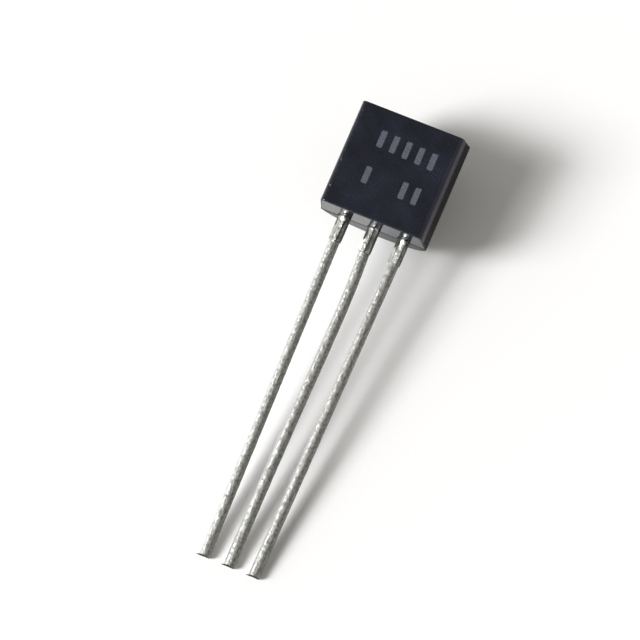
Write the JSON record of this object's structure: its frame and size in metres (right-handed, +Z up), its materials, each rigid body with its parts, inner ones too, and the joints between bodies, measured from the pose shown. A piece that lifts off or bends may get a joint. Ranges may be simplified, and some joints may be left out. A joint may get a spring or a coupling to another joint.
{
  "type": "to-92 transistor",
  "caption": "Small through-hole transistor: a black moulded case with a flat front and a round back, and long tinned leads in one row.",
  "frame": {"origin": "under the middle of the part's box, on the surface that it lies on", "axes": "+Y from the leads' cut ends towards the case; +Z up, the flat face up and tipped 7.9 degrees towards the leads; +X to the right seen from the leads' side, towards the collector lead"},
  "size_m": [0.0046, 0.019, 0.004],
  "materials": {
    "moulding_compound": "smooth black epoxy with a faint blue cast, matt on the flat and glossier on the end face",
    "tinned_lead": "hot-dipped solder, mottled and bright, bare and crisp beside the case",
    "silver_epoxy": "dull silver-filled adhesive",
    "silicon": "polished dark grey crystal",
    "gold_wire": "drawn bright wire"
  },
  "bodies": {
    "root": {"case": "moulding_compound", "emitter_lead": "tinned_lead", "base_lead": "tinned_lead", "collector_lead": "tinned_lead", "die_attach": "silver_epoxy", "silicon_die": "silicon", "emitter_wire": "gold_wire", "base_wire": "gold_wire"}
  },
  "joints": []
}
